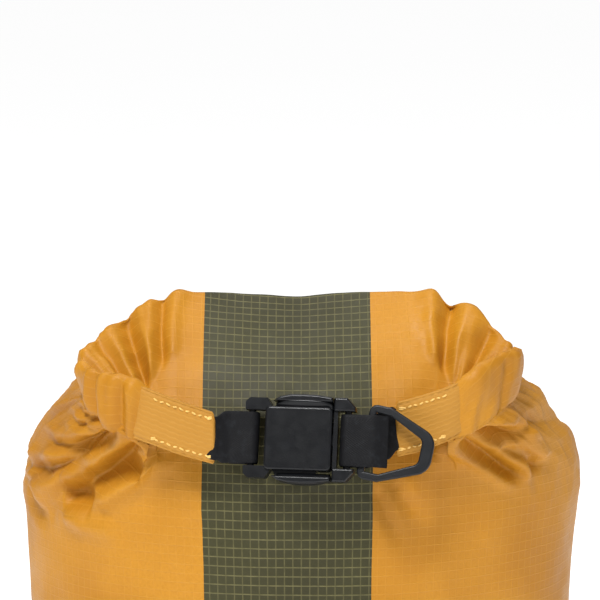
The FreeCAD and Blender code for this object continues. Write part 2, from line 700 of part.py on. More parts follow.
def prong(name, up):
    """A spring prong: a slim neck, a head between the plates, a barb and a finger button."""
    body = new_body(name)
    root = "Params.plug_start - Params.prong_clearance"

    def point(x, z):
        return (x, z if up > 0 else f"-({z})")

    pad(body, f"{name}_arm", outline_sketch(body, f"{name}_arm_outline", "XZ_Plane", [
        point(root, "Params.neck_low"), point(root, "Params.neck_high"),
        point("7", "Params.neck_high + 0.4"), point("5", "Params.button_base + 0.4"),
        point("-Params.prong_tip + 1.2", "Params.button_base + 0.4"),
        point("-Params.prong_tip", "Params.barb_high + 0.4"),
        point("-Params.prong_tip", "Params.barb_low - 0.1"), point("-4", "8.4"),
        point("6", "Params.neck_low")]), "Params.prong_thickness")
    pad(body, f"{name}_button", outline_sketch(body, f"{name}_button_outline", "XZ_Plane", [
        point("-Params.prong_tip - 0.2", "Params.button_base"),
        point("-Params.prong_tip + 2.2", "Params.button_top - 0.9"),
        point("-4", "Params.button_top - 0.1"), point("1", "Params.button_top"),
        point("6", "Params.button_top - 0.2"),
        point(f"{root} - 0.3", "Params.button_top - 0.9"),
        point(f"{root} - 0.1", "Params.button_base")]), "Params.button_thickness")
    round_edges(body, f"{name}_button_edges", "0.8",
                lambda middle, way: abs(abs(middle.y) - size("button_thickness") / 2) < 1e-6)
    pad(body, f"{name}_barb", outline_sketch(body, f"{name}_barb_outline", "XZ_Plane", [
        point("-Params.barb_left", "Params.barb_low"),
        point("-Params.rib_left - Params.barb_clearance", "Params.barb_low"),
        point("-Params.rib_left - Params.barb_clearance", "Params.barb_high"),
        point("-Params.barb_left", "Params.barb_high")]), "Params.barb_thickness")
    return body


prong_upper = prong("prong_upper", 1)
prong_lower = prong("prong_lower", -1)

for moulded in (buckle_socket, buckle_plug, prong_upper, prong_lower):
    moulded.setExpression("Placement", BUCKLE_PLACE)

# The ring: a flat triangular loop, tilted in its own plane about the middle of its bar.
d_ring = new_body("d_ring")
pad(d_ring, "ring_plate", outline_sketch(d_ring, "ring_outline", "XZ_Plane", [
    ("-Params.bar_radius", "-Params.ring_inner_half - Params.ring_arm"),
    ("Params.ring_straight", "-Params.ring_inner_half - Params.ring_arm"),
    ("Params.ring_depth", "-Params.ring_apex_half"),
    ("Params.ring_depth", "Params.ring_apex_half"),
    ("Params.ring_straight", "Params.ring_inner_half + Params.ring_arm"),
    ("-Params.bar_radius", "Params.ring_inner_half + Params.ring_arm")]), "Params.ring_thickness")


def corner_near(x, half):
    """A test for an upright corner edge at this place and its mirror image."""
    return lambda middle, way: (along_y(way) and abs(middle.x - x) < 0.01
                                and abs(abs(middle.z) - half) < 0.01)


round_edges(d_ring, "ring_apex", "Params.ring_apex_half - 0.3",
            corner_near(size("ring_depth"), size("ring_apex_half")))
round_edges(d_ring, "ring_shoulders", "3",
            corner_near(-size("bar_radius"), size("ring_inner_half") + size("ring_arm")))
pocket(d_ring, "ring_eye", outline_sketch(d_ring, "eye_outline", "XZ_Plane", [
    ("Params.bar_radius", "-Params.ring_inner_half"),
    ("Params.ring_straight", "-Params.ring_inner_half"),
    ("Params.ring_depth - Params.ring_apex_wall", "-Params.ring_apex_half + 2.2"),
    ("Params.ring_depth - Params.ring_apex_wall", "Params.ring_apex_half - 2.2"),
    ("Params.ring_straight", "Params.ring_inner_half"),
    ("Params.bar_radius", "Params.ring_inner_half")]))
round_edges(d_ring, "ring_eye_apex", "2.6",
            corner_near(size("ring_depth") - size("ring_apex_wall"),
                        size("ring_apex_half") - 2.2))
round_edges(d_ring, "ring_edges", "Params.ring_edge_round",
            lambda middle, way: abs(abs(middle.y) - size("ring_thickness") / 2) < 1e-6)
d_ring.setExpression(
    "Placement", BUCKLE_PLACE + full(" * placement(vector(Params.ring_bar_x; 0; 0); "
                                     "rotation(0; Params.ring_tilt; 0))"))

# ---------------------------------------------------------------- checks and files

NODES = [main_panel, stripe_panel, base_panel, seam_tape_left, seam_tape_right, base_seam_tape,
         roll_left, roll_stripe, roll_right, mouth_hem, hem_stiffener, tab_stitching_left,
         tab_stitching_right, strap_left, strap_right, buckle_socket, buckle_plug, prong_upper,
         prong_lower, d_ring]

doc.recompute()
for item in doc.Objects:
    if {"Invalid", "Error"} & set(item.State):
        raise RuntimeError(f"{item.Label} failed: {item.State}")
for node in NODES:
    if node.Shape.isNull() or not node.Shape.isValid() or node.Shape.Volume <= 0:
        raise RuntimeError(f"{node.Label} has no valid solid")
os.makedirs("parts", exist_ok=True)
for node in NODES:
    node.Shape.exportStep(f"parts/{node.Label}.step")
    extent = node.Shape.BoundBox
    print(f"{node.Label:20s} {len(node.Shape.Solids):3d} solids {node.Shape.Volume:10.1f} mm3  "
          f"x {extent.XMin:7.1f} {extent.XMax:7.1f}  y {extent.YMin:7.1f} {extent.YMax:7.1f}  "
          f"z {extent.ZMin:7.1f} {extent.ZMax:7.1f}")
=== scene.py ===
"""Looks of the roll-top stuff sack: cloth, rolled mouth, sewn tabs, webbing, buckle and ring.

Lengths are in millimetres inside the helpers and become metres when a mesh is made.
"""
import math

import bmesh
import bpy
import numpy as np
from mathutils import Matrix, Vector, noise


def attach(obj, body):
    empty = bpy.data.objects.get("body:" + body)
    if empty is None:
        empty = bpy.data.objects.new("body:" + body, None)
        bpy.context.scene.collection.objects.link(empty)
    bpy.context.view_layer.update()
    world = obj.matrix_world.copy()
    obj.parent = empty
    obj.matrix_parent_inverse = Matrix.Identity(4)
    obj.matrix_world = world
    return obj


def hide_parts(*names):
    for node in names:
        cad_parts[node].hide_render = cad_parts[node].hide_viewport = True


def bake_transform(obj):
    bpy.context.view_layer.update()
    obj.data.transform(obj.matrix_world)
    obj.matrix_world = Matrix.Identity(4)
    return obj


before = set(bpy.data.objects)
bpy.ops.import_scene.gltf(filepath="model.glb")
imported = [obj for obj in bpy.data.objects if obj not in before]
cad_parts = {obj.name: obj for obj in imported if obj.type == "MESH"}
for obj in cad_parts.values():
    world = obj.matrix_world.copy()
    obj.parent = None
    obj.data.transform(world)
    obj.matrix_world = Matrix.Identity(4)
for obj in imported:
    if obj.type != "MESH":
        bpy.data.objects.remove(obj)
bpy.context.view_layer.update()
MM = 0.001
UV_SCALE = 0.1          # one UV unit is 10 mm of cloth
WELD_DISTANCE = 0.02    # points closer than this are one


# ------------------------------------------------------------------ curves and meshes

def curve(points, shares):
    """Points at these shares (0 to 1) of a Catmull-Rom curve through the given points."""
    given = np.array(points, float)
    steps = np.linalg.norm(np.diff(given, axis=0), axis=1)
    knots = np.concatenate([[0], np.cumsum(steps)]) / steps.sum()
    padded = np.vstack([2 * given[0] - given[1], given, 2 * given[-1] - given[-2]])
    found = []
    for share in np.clip(shares, 0, 1):
        i = min(int(np.searchsorted(knots, share, side="right")) - 1, len(given) - 2)
        t = (share - knots[i]) / (knots[i + 1] - knots[i])
        a, b, c, d = padded[i:i + 4]
        found.append(0.5 * (2 * b + (c - a) * t + (2 * a - 5 * b + 4 * c - d) * t * t
                            + (3 * b - a - 3 * c + d) * t ** 3))
    return np.array(found)


def smooth(value, low, high):
    """0 below low, 1 above high, and a smooth step between them."""
    t = np.clip((np.asarray(value, float) - low) / (high - low), 0, 1)
    return t * t * (3 - 2 * t)


def unit(vectors):
    vectors = np.asarray(vectors, float)
    return vectors / np.maximum(np.linalg.norm(vectors, axis=-1, keepdims=True), 1e-9)


def grid_normals(points):
    """Normals of a grid of points, rows by columns."""
    return unit(np.cross(np.gradient(points, axis=1), np.gradient(points, axis=0)))


def lengths_along(points, axis):
    """Distance along the rows (axis 0) or columns (axis 1) of a grid of points."""
    steps = np.linalg.norm(np.diff(points, axis=axis), axis=2)
    start = np.zeros((1, points.shape[1])) if axis == 0 else np.zeros((points.shape[0], 1))
    return np.concatenate([start, np.cumsum(steps, axis=axis)], axis=axis)


def mesh_of_grids(name, grids):
    """A mesh from grids of points in millimetres, each with its cloth coordinates as UVs."""
    vertices, faces, flat = [], [], []
    for points, uv in grids:
        rows, columns = points.shape[:2]
        first = len(vertices)
        vertices += [tuple(p) for p in points.reshape(-1, 3) * MM]
        flat += list(uv.reshape(-1, 2) * UV_SCALE)
        for r in range(rows - 1):
            for c in range(columns - 1):
                here = first + r * columns + c
                faces.append((here, here + 1, here + columns + 1, here + columns))
    mesh = bpy.data.meshes.new(name)
    mesh.from_pydata(vertices, [], faces)
    layer = mesh.uv_layers.new(name="cloth")
    corners = np.array([v for face in faces for v in face])
    layer.data.foreach_set("uv", np.array(flat)[corners].ravel())
    return mesh


def lengths_uv(grid):
    """Cloth coordinates that are plain distances along the columns and the rows."""
    return np.stack([lengths_along(grid, 1), lengths_along(grid, 0)], axis=2)


def grid_mesh(name, points, uv, material, body="sack"):
    """A smooth piece from one grid of points."""
    return finish_piece(name, mesh_of_grids(name, [(points, uv)]), material, body)


def joined_mesh(name, grids, material):
    """One welded piece of the sack from several grids that share edges."""
    mesh = mesh_of_grids(name, grids)
    weld = bmesh.new()
    weld.from_mesh(mesh)
    bmesh.ops.remove_doubles(weld, verts=weld.verts, dist=WELD_DISTANCE * MM)
    weld.to_mesh(mesh)
    weld.free()
    return finish_piece(name, mesh, material, "sack")


def softened(value, power):
    """A sine or cosine raised to a power with its sign kept: squares off a round section."""
    return math.copysign(abs(value) ** power, value)


def turns(count):
    """Angles once round a closed section, the last the same as the first."""
    return [2 * math.pi * i / (count - 1) for i in range(count)]


def finish_piece(name, mesh, material, body):
    """Links the mesh as a smooth piece with its material and body."""
    mesh.validate()
    mesh.polygons.foreach_set("use_smooth", [True] * len(mesh.polygons))
    piece = bpy.data.objects.new(name, mesh)
    bpy.context.scene.collection.objects.link(piece)
    piece.data.materials.append(material)
    if body:
        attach(piece, body)
    return piece


def wavy(points, wavelength, seed):
    """Smooth noise from about -1 to 1 at each point of a grid."""
    flat = np.asarray(points, float).reshape(-1, 3) / wavelength + seed
    values = [noise.noise(Vector(p)) for p in flat]
    return np.array(values).reshape(np.asarray(points).shape[:-1])


# ------------------------------------------------------------------ materials

class Nodes:
    """A short way to write a material's nodes."""

    def __init__(self, name, roughness):
        self.material = bpy.data.materials.new(name)
        self.material.use_nodes = True
        self.tree = self.material.node_tree
        self.shader = self.tree.nodes["Principled BSDF"]
        self.shader.inputs["Roughness"].default_value = roughness

    def add(self, kind, **inputs):
        node = self.tree.nodes.new(kind)
        for key, value in inputs.items():
            self.set(node, key, value)
        return node

    def set(self, node, key, value):
        socket = node.inputs[int(key[1:])] if key[0] == "_" else node.inputs[key]
        if isinstance(value, bpy.types.NodeSocket):
            self.tree.links.new(value, socket)
        else:
            socket.default_value = value

    def math(self, operation, first, second=0.0):
        node = self.add("ShaderNodeMath")
        node.operation = operation
        for number, value in enumerate((first, second)):
            self.set(node, f"_{number}", value)
        return node.outputs[0]

    def noise(self, scale, detail=2.0):
        node = self.add("ShaderNodeTexNoise", Scale=scale, Detail=detail)
        self.set(node, "Vector", self.add("ShaderNodeTexCoord").outputs["Object"])
        return node.outputs[0]

    def stretch(self, value, low, high, to_low=0.0, to_high=1.0):
        node = self.add("ShaderNodeMapRange")
        node.interpolation_type = "SMOOTHSTEP"
        for number, item in enumerate((value, low, high, to_low, to_high)):
            self.set(node, f"_{number}", item)
        return node.outputs[0]

    def mix(self, share, first, second):
        node = self.add("ShaderNodeMix")
        node.data_type = "RGBA"
        self.set(node, "_0", share)
        self.set(node, "_6", first)
        self.set(node, "_7", second)
        return node.outputs[2]

    def bump(self, height, strength, distance, below=None):
        node = self.add("ShaderNodeBump", Strength=strength, Distance=distance, Height=height)
        if below is not None:
            self.set(node, "Normal", below)
        return node.outputs[0]

    def cloth_axes(self):
        """The two cloth coordinates in millimetres."""
        uv = self.add("ShaderNodeUVMap")
        uv.uv_map = "cloth"
        parts = self.add("ShaderNodeSeparateXYZ", Vector=uv.outputs[0])
        return [self.math("DIVIDE", parts.outputs[i], UV_SCALE) for i in (0, 1)]


def rgb(red, green, blue):
    return (red, green, blue, 1.0)


def ripstop(name, base, shade, line, line_share, pitch=(3.16, 3.5), roughness=0.46):
    """Coated ripstop nylon: a fine plain weave with a raised grid of doubled threads."""
    n = Nodes(name, roughness)
    u, v = n.cloth_axes()
    lines = []
    for axis, step in ((u, pitch[0]), (v, pitch[1])):
        place = n.math("PINGPONG", axis, step / 2)
        lines.append(n.stretch(place, 0.10, 0.34, 1.0, 0.0))
    across = n.math("MULTIPLY", lines[0], 0.62)
    grid = n.math("MAXIMUM", across, lines[1])
    uneven = n.stretch(n.noise(310.0, 2.0), 0.3, 0.7, 0.55, 1.0)
    grid = n.math("MULTIPLY", grid, uneven)
    weave = n.math("MULTIPLY", n.math("SINE", n.math("MULTIPLY", u, 15.0)),
                   n.math("SINE", n.math("MULTIPLY", v, 15.0)))
    broad = n.stretch(n.noise(22.0, 3.0), 0.3, 0.7)
    flecks = n.stretch(n.noise(900.0, 2.0), 0.35, 0.75, 0.0, 0.35)
    colour = n.mix(broad, base, shade)
    colour = n.mix(flecks, colour, shade)
    colour = n.mix(n.math("MULTIPLY", grid, line_share), colour, line)
    n.set(n.shader, "Base Color", colour)
    fine = n.bump(weave, 0.25, 0.00008)
    raised = n.bump(grid, 0.5, 0.00018, fine)
    crumple = n.bump(n.noise(95.0, 4.0), 0.22, 0.0012, raised)
    n.set(n.shader, "Normal", crumple)
    rough = n.stretch(n.noise(60.0, 2.0), 0.3, 0.7, roughness - 0.05, roughness + 0.08)
    n.set(n.shader, "Roughness", rough)
    n.set(n.shader, "Specular IOR Level", 0.26)
    return n.material


def hem_cloth(name, base, line):
    """The folded hem: the same cloth with its long threads close together."""
    n = Nodes(name, 0.5)
    u, v = n.cloth_axes()
    rows = n.stretch(n.math("PINGPONG", v, 0.95), 0.12, 0.5, 1.0, 0.0)
    fine = n.math("MULTIPLY", n.math("SINE", n.math("MULTIPLY", u, 9.0)),
                  n.math("SINE", n.math("MULTIPLY", v, 13.0)))
    uneven = n.stretch(n.noise(240.0, 3.0), 0.3, 0.7, 0.2, 0.6)
    colour = n.mix(n.math("MULTIPLY", rows, uneven), base, line)
    n.set(n.shader, "Base Color", colour)
    n.set(n.shader, "Normal", n.bump(rows, 0.5, 0.00015, n.bump(fine, 0.3, 0.0001)))
    n.set(n.shader, "Specular IOR Level", 0.2)
    return n.material


def webbing_finish():
    """Matte black coated webbing with a faint cross grain and a little dust."""
    n = Nodes("webbing_coated", 0.62)
    u, v = n.cloth_axes()
    grain = n.math("MULTIPLY", n.math("SINE", n.math("MULTIPLY", u, 5.2)),
                   n.math("SINE", n.math("MULTIPLY", v, 7.5)))
    dust = n.stretch(n.noise(400.0, 4.0), 0.5, 0.75, 0.0, 0.5)
    n.set(n.shader, "Base Color", n.mix(dust, rgb(0.006, 0.006, 0.007), rgb(0.016, 0.018, 0.021)))
    n.set(n.shader, "Normal", n.bump(n.noise(1500.0, 3.0), 0.3, 0.0002,
                                     n.bump(grain, 0.28, 0.00012)))
    n.set(n.shader, "Roughness", n.stretch(n.noise(150.0), 0.3, 0.7, 0.5, 0.68))
    n.set(n.shader, "Specular IOR Level", 0.14)
    return n.material


def moulded(name, base, roughness, bump):
    """Satin moulded plastic with a fine spark-eroded grain and slightly rubbed high spots."""
    n = Nodes(name, roughness)
    worn = n.stretch(n.noise(120.0, 4.0), 0.52, 0.8, 0.0, 0.5)
    n.set(n.shader, "Base Color", n.mix(worn, base, rgb(0.009, 0.010, 0.013)))
    n.set(n.shader, "Normal", n.bump(n.noise(2600.0, 3.0), bump, 0.00015,
                                     n.bump(n.noise(70.0, 2.0), 0.03, 0.0004)))
    n.set(n.shader, "Roughness", n.stretch(n.noise(300.0, 3.0), 0.3, 0.7,
                                           roughness - 0.02, roughness + 0.05))
    n.set(n.shader, "Specular IOR Level", 0.3)
    return n.material


def plain_weave(name, base, other, roughness):
    """Tape, thread and other small sewn things."""
    n = Nodes(name, roughness)
    n.set(n.shader, "Base Color", n.mix(n.stretch(n.noise(700.0, 3.0), 0.3, 0.7), base, other))
    n.set(n.shader, "Normal", n.bump(n.noise(1800.0, 3.0), 0.35, 0.0002))
    return n.material


ORANGE = ripstop("ripstop_orange", rgb(0.53, 0.232, 0.015), rgb(0.43, 0.174, 0.008),
                 rgb(0.60, 0.29, 0.035), 0.30)
OLIVE = ripstop("ripstop_olive", rgb(0.046, 0.043, 0.014), rgb(0.033, 0.030, 0.009),
                rgb(0.24, 0.215, 0.085), 0.50)
HEM = hem_cloth("hem_folded", rgb(0.46, 0.215, 0.030), rgb(0.52, 0.26, 0.045))
WEBBING = webbing_finish()
BUCKLE = moulded("buckle_moulded", rgb(0.004, 0.0044, 0.0055), 0.30, 0.22)
RING = moulded("ring_moulded", rgb(0.007, 0.008, 0.010), 0.36, 0.3)
THREAD = plain_weave("thread_ochre", rgb(0.86, 0.55, 0.16), rgb(0.74, 0.44, 0.10), 0.6)
TAPE = plain_weave("tape_clear", rgb(0.55, 0.52, 0.46), rgb(0.46, 0.43, 0.37), 0.35)
STIFFENER = plain_weave("stiffener_plastic", rgb(0.60, 0.60, 0.58), rgb(0.50, 0.50, 0.48), 0.5)


# ------------------------------------------------------------------ the rolled mouth's rails

# Stations run from the back centre (0) to the tab (12). At each of them: a point on the crest of
# the roll, one on the lower edge of its inner face and one on the lower edge of its outer face.
SEAM_X = {-1: 36.5, 1: 26.0}
RAILS = {
    -1: [((0, -27, 300.0), (0, -46, 286), (0, -21, 288)),
         ((-18, -27, 301.0), (-18, -46, 286), (-18, -21, 288)),
         ((-36.5, -28, 301.8), (-36.5, -46, 286), (-36.5, -21.5, 288)),
         ((-49, -30, 302.0), (-47, -47, 285), (-50, -23.5, 286)),
         ((-57, -33, 298.4), (-53.5, -49.5, 281), (-60, -27, 283)),
         ((-64.5, -37, 294.6), (-58, -53, 275.5), (-68, -31, 279.5)),
         ((-72.5, -43, 289.8), (-61, -57, 270.5), (-75, -37.5, 275)),
         ((-78.5, -50, 285.2), (-62.5, -61, 266.5), (-79.5, -46, 270.5)),
         ((-80.5, -58, 281.0), (-62.5, -65, 263), (-80, -56, 267.5)),
         ((-77, -66, 279.2), (-61.5, -68.5, 260), (-77, -66, 265)),
         ((-70.5, -72.5, 279.6), (-60, -71.5, 257.8), (-71.5, -73, 261.5)),
         ((-63, -76.8, 279.2), (-58, -74, 256), (-64, -77.5, 256.8)),
         ((-55.5, -78.5, 275.6), (-55.5, -77.5, 254.0), (-55.5, -77.5, 254.0))],
    1: [((0, -27, 300.0), (0, -46, 286), (0, -21, 288)),
        ((13, -27.5, 301.4), (13, -46, 286), (13, -21, 288)),
        ((26, -28, 302.0), (26, -46, 286), (26, -21.3, 288)),
        ((40, -29, 302.3), (41, -46.5, 285.5), (42, -22.5, 287)),
        ((52, -31.5, 301.2), (50, -48.5, 282.5), (54, -25, 284.5)),
        ((62, -36, 298.0), (56, -52, 277), (64, -30, 280.5)),
        ((70.5, -43, 292.0), (59.5, -56.5, 271.5), (72, -37, 276)),
        ((76.5, -50.5, 286.2), (61, -61, 267), (77, -46, 272)),
        ((78.5, -58, 284.4), (61, -65, 263.5), (78.5, -56, 269)),
        ((75, -65, 285.6), (60, -68.5, 260.5), (75.5, -66, 266)),
        ((68.5, -71, 284.6), (58.5, -71.5, 258), (69.5, -73, 262)),
        ((62, -75.5, 281.4), (56.5, -74, 256), (62, -77.3, 258)),
        ((55.5, -78.5, 277.0), (53.5, -77.5, 254.6), (53.5, -77.5, 254.6))],
}
LAST = 12
CRESTS, INNERS, OUTERS = 0, 1, 2

# Folds that cross the roll: the station, how deep and how wide (in stations), and the face.
ROLL_FOLDS = {
    -1: [(3.5, 3.0, 0.34, "inner"), (5.1, 3.2, 0.34, "inner"), (6.6, 2.4, 0.26, "inner"),
         (8.0, 2.2, 0.22, "both"), (9.9, 2.8, 0.26, "outer"), (11.1, 2.6, 0.24, "outer")],
    1: [(4.5, 4.4, 0.34, "inner"), (6.2, 2.8, 0.30, "inner"), (7.6, 2.0, 0.24, "both"),
        (9.8, 0.8, 0.20, "outer")],
}


def rail(kind, side, stations):
    """Points on one rail at these stations, on a smooth curve through the named ones."""
    given = np.array([row[kind] for row in RAILS[side]], float)
    padded = np.vstack([given[1] * np.array([-1, 1, 1]), given, 2 * given[-1] - given[-2]])
    stations = np.clip(np.asarray(stations, float), 0, LAST)
    i = np.minimum(stations.astype(int), LAST - 1)
    t = (stations - i)[:, None]
    p, q, r, w = (padded[i + k] for k in range(4))
    return 0.5 * (2 * q + (r - p) * t + (2 * p - 5 * q + 4 * r - w) * t * t
                  + (3 * q - p - 3 * r + w) * t ** 3)


def roll_rows(side, stations, rows):
    """The roll's skin at these stations, and each row's share of the way over.

    It goes up the inner face, over the crest, down the outer face and a little way in under it.
    """
    inner, crest, outer = (rail(kind, side, stations) for kind in (INNERS, CRESTS, OUTERS))
    rise = unit(crest - (inner + outer) / 2)
    across = outer - inner
    width = np.linalg.norm(across, axis=1, keepdims=True)
    radius = 3.0                        # of the fold at the crest
    across = across / np.maximum(width, radius)
    path = np.stack([inner, inner + (crest - inner) * 0.5 - across * 0.6,
                     crest - rise * radius - across * radius * 0.5,
                     crest - rise * 0.4 + across * radius * 0.4,
                     crest - rise * radius * 1.1 + across * radius * 1.4,
                     (outer + crest) / 2 + across * 2.4, outer,
                     outer * 0.6 + inner * 0.4 + rise * 1.5])
    down = np.linspace(0, 1, rows)
    return np.stack([curve(path[:, k], down) for k in range(len(stations))], axis=1), down


def roll_push(grid, side, stations, down):
    """How far the roll's skin moves outward for its folds and small creases."""
    push = np.zeros(grid.shape[:2])
    for place, depth, width, where in ROLL_FOLDS[side]:
        sway = 0.5 * (down - 0.3) + 0.12 * np.sin(down * 5.0 + place * 3.0)
        r = np.abs(stations[None, :] + sway[:, None] - place) / width
        valley = np.exp(-r ** 1.3) - 0.5 * np.exp(-((r - 1.8) ** 2) * 1.2)
        weight = {"inner": 1 - smooth(down, 0.44, 0.62), "outer": smooth(down, 0.40, 0.60),
                  "both": 0.6 + 0.4 * np.cos((down - 0.5) * 5.0) ** 2}[where]
        push -= depth * valley * weight[:, None]
    firm = smooth(stations, 2.6, 4.0)[None, :]
    stretched = grid * np.array([1.0, 1.0, 0.6])
    push += wavy(stretched, 13.0, 3.1 + side) * (0.3 + 1.3 * firm)
    push += (0.5 - np.abs(wavy(stretched, 8.0, 9.4 + side))) * (0.1 + 1.5 * firm)
    return push * (1 - smooth(stations, 11.0, 12.0)[None, :] * 0.7)


# ------------------------------------------------------------------ the bag's cloth

# The wall's outline: height, and its half width and half depth as shares of the fullest ones.
FOOT = [(0.0, 0.869, 0.846), (3.0, 0.915, 0.90), (8.0, 0.95, 0.953), (20.0, 0.972, 0.993),
        (120.0, 0.978, 0.997), (175.0, 0.985, 1.0), (205.0, 0.995, 1.0), (222.0, 1.008, 0.995)]
HALF_WIDTH, HALF_DEPTH = 107.5, 74.5
WALL_TOP = 222.0
CORNER_X = {-1: 61.0, 1: 58.0}        # how far out the front cloth still goes up behind a tab
WALL_ROWS, SLOPE_ROWS, ROLL_ROWS = 72, 76, 36
FOOT_HEIGHTS = [0, 1.5, 3.5, 6, 9, 13, 18]  # rows where the wall turns up from the base
WALL_HEIGHTS = np.concatenate([FOOT_HEIGHTS, np.linspace(24, WALL_TOP, WALL_ROWS)])
SHARED_ROWS = len(WALL_HEIGHTS) + SLOPE_ROWS    # rows that the front and the side cloth share

# Folds of the front cloth, seen from the front: points (x, z), how deep, how wide, and whether
# it is a valley or a ridge.
FRONT_FOLDS = [
    ([(-109, 230), (-92, 237), (-67, 255)], 3.8, 3.0, "valley"),
    ([(-106, 223), (-90, 229.5), (-68, 247)], 2.2, 6.0, "ridge"),
    ([(-107, 228), (-100, 216), (-96, 214)], 2.0, 2.6, "valley"),
    ([(-97, 215), (-86, 236)], 2.2, 2.8, "valley"),
    ([(-58, 253), (-66, 244.5), (-75, 237), (-84, 230), (-90, 226)], 7.4, 4.4, "valley"),
    ([(-90, 226), (-84, 226), (-77, 224)], 5.4, 4.0, "valley"),
    ([(-89, 220), (-82, 217), (-74, 216), (-68, 217.5)], 2.8, 3.6, "ridge"),
    ([(-55, 250), (-60, 240), (-70, 230), (-76, 225)], 2.6, 5.0, "ridge"),
    ([(-98, 245), (-90, 246), (-78, 250.5), (-66, 257)], 4.0, 2.6, "valley"),
    ([(-97, 241), (-80, 245.5), (-66, 253.5)], 2.0, 4.2, "ridge"),
    ([(-84, 262), (-76, 260.5), (-68, 258)], 2.2, 1.8, "valley"),
    ([(-88, 258.5), (-76, 256.5), (-67, 256.5)], 1.8, 1.6, "valley"),
    ([(59, 257), (70, 256), (83, 252)], 4.0, 2.6, "valley"),
    ([(62, 259), (72, 261), (80, 258.5)], 2.2, 3.0, "ridge"),
    ([(58, 255), (70, 245.5), (84, 234)], 6.0, 3.0, "valley"),
    ([(64, 252), (76, 244.5), (87, 235)], 3.2, 3.2, "ridge"),
    ([(72, 250), (80, 245), (91, 236)], 3.2, 2.4, "valley"),
    ([(85, 255), (87, 248), (92.5, 240)], 2.0, 2.6, "ridge"),
    ([(83, 258), (95, 253), (103, 246)], 1.6, 2.6, "valley"),
    ([(27, 236.5), (31, 226), (36.5, 213)], 1.0, 2.4, "valley"),
    ([(34, 238), (42, 225)], 0.8, 2.6, "valley"),
    ([(-50, 247), (-42, 238), (-37, 222)], 1.0, 5.0, "ridge"),
    ([(48, 249), (42, 240), (40, 230)], 1.1, 5.0, "ridge"),
]


def wall_ring(angles, height):
    """Points round the upright wall: 0 is the front centre, negative angles the left side."""
    heights, widths, depths = np.array(FOOT).T
    half_width = np.interp(height, heights, widths) * HALF_WIDTH
    half_depth = np.interp(height, heights, depths) * HALF_DEPTH
    return np.stack([half_width * np.sin(angles), -half_depth * np.cos(angles),
                     np.full(len(angles), float(height))], axis=1)


def angle_of(x):
    """The angle of the wall's point this far out."""
    return math.asin(x / HALF_WIDTH)


def front_stations(side, angles):
    """The roll's station above each column of the front cloth, out to the tab."""
    stations = np.linspace(0, LAST, 601)
    reach = np.abs(rail(INNERS, side, stations)[:, 0])
    straight = 3.0                      # up to here columns run straight up to the roll
    edge_x = reach[np.searchsorted(stations, straight)]
    x = HALF_WIDTH * np.sin(np.abs(angles))
    inside = np.interp(x, reach[stations <= straight], stations[stations <= straight])
    part = (np.abs(angles) - angle_of(edge_x)) / (angle_of(CORNER_X[side]) - angle_of(edge_x))
    return np.where(x <= edge_x, inside, straight + (LAST - straight) * np.clip(part, 0, 1))


def back_stations(side, angles):
    """The roll's station that each column of the side and back cloth comes up to."""
    corner = angle_of(CORNER_X[side])
    return LAST * (1 - ((np.abs(angles) - corner) / (math.pi - corner)) ** 0.9)


def fold_push(points):
    """How far each point of the front cloth moves outward for the named folds."""
    x, y, z = points[..., 0], points[..., 1], points[..., 2]
    push = np.zeros(x.shape)
    front = 1 - smooth(y, -12, 12)
    for line, depth, width, kind in FRONT_FOLDS:
        nearest = np.full(x.shape, 1e9)
        along = np.zeros(x.shape)
        line = curve([(px, 0, pz) for px, pz in line], np.linspace(0, 1, 24))[:, (0, 2)]
        total = len(line) - 1
        for i, (a, b) in enumerate(zip(line, line[1:])):
            d = b - a
            t = np.clip(((x - a[0]) * d[0] + (z - a[1]) * d[1]) / (d @ d), 0, 1)
            gap = np.hypot(x - a[0] - t * d[0], z - a[1] - t * d[1])
            closer = gap < nearest
            nearest = np.where(closer, gap, nearest)
            along = np.where(closer, (i + t) / total, along)
        ends = smooth(along, -0.02, 0.16) * (1 - smooth(along, 0.80, 1.02))
        r = nearest / width
        if kind == "valley":
            shape = -np.exp(-r ** 1.3) + 0.4 * np.exp(-((r - 1.7) ** 2) * 1.6)
        else:
            shape = np.exp(-r * r)
        push += depth * shape * ends * front
    return push


